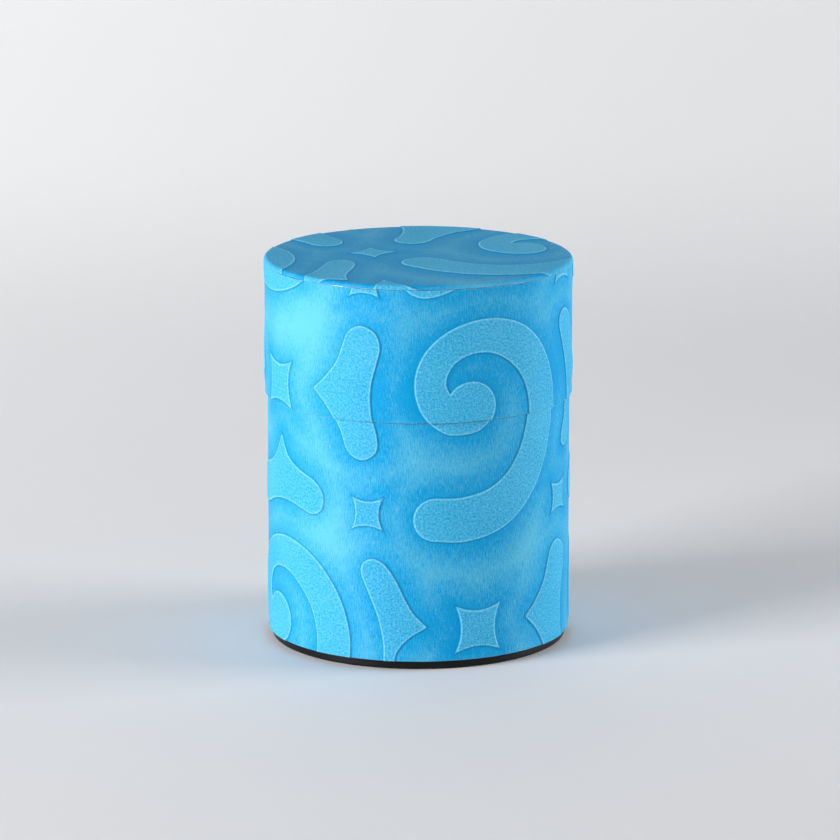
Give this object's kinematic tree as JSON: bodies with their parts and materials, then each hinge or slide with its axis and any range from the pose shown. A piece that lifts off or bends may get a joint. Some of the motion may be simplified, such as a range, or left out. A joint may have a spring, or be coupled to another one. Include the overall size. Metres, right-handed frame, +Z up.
{
  "type": "paper-covered canister tin",
  "caption": "Round double-walled canister tin with a deep lift-off lid, a knobbed inner lid and embossed paper on its sides and top, on a low black foot.",
  "frame": {"origin": "centre of the circle that the foot stands on, at the height of the table", "axes": "+Z up along the tin's axis, towards the lid's top; +Y towards the back, where the papers overlap"},
  "size_m": [0.0784, 0.0787, 0.0985],
  "materials": {
    "embossed_paper": "matte",
    "bright_tin": "bright",
    "black_lacquer": "semi-gloss",
    "turned_knob": "satin"
  },
  "bodies": {
    "can": {"base_plate": "black_lacquer", "inner_barrel": "bright_tin", "outer_barrel": "bright_tin", "body_paper": "embossed_paper"},
    "inner_lid": {"inner_lid_pan": "bright_tin", "inner_lid_knob": "turned_knob", "knob_washer": "bright_tin", "knob_rivet": "turned_knob"},
    "lid": {"lid_barrel": "bright_tin", "lid_top_plate": "bright_tin", "lid_side_paper": "embossed_paper", "lid_top_paper": "embossed_paper"}
  },
  "joints": [
    {"name": "inner_lid_lift", "type": "slide", "parent": "can", "child": "inner_lid", "axis": [0, 0, 1], "range_m": [0, 0.045]},
    {"name": "lid_lift", "type": "slide", "parent": "inner_lid", "child": "lid", "axis": [0, 0, 1], "range_m": [0, 0.045]}
  ]
}
